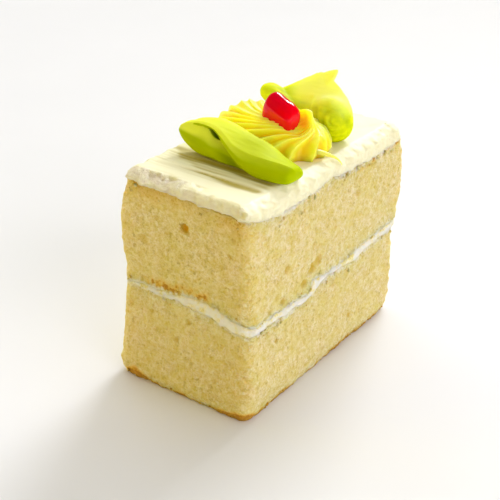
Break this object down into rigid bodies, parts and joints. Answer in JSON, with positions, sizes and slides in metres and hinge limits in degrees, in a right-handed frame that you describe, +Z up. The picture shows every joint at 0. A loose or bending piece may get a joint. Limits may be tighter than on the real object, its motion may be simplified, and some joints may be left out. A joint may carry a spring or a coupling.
{
  "type": "slice of buttercream cake",
  "caption": "Upright slice of layered butter sponge cake with cream filling and an iced top, decorated with a piped yellow flower, green leaves and a piece of red jelly.",
  "frame": {"origin": "middle of the flat base of the slice, on the surface that it stands on", "axes": "+Z up through the layers, +Y along the slice away from the near cut end, +X out of the long cut face"},
  "size_m": [0.0481, 0.0838, 0.0859],
  "materials": {
    "sponge": "open butter sponge crumb, matte, browned at the bottom crust",
    "filling": "soft cream mixed with crumbs, matte",
    "icing": "smooth spread buttercream, satin, with spatula streaks",
    "flower": "yellow piped buttercream, satin",
    "leaf": "lime green piped buttercream, satin",
    "jelly": "clear red jelly, wet gloss"
  },
  "bodies": {
    "root": {"sponge_lower": "sponge", "filling": "filling", "sponge_upper": "sponge", "icing": "icing", "flower": "flower", "leaf_front": "leaf", "leaf_back": "leaf", "jelly": "jelly"}
  },
  "joints": []
}
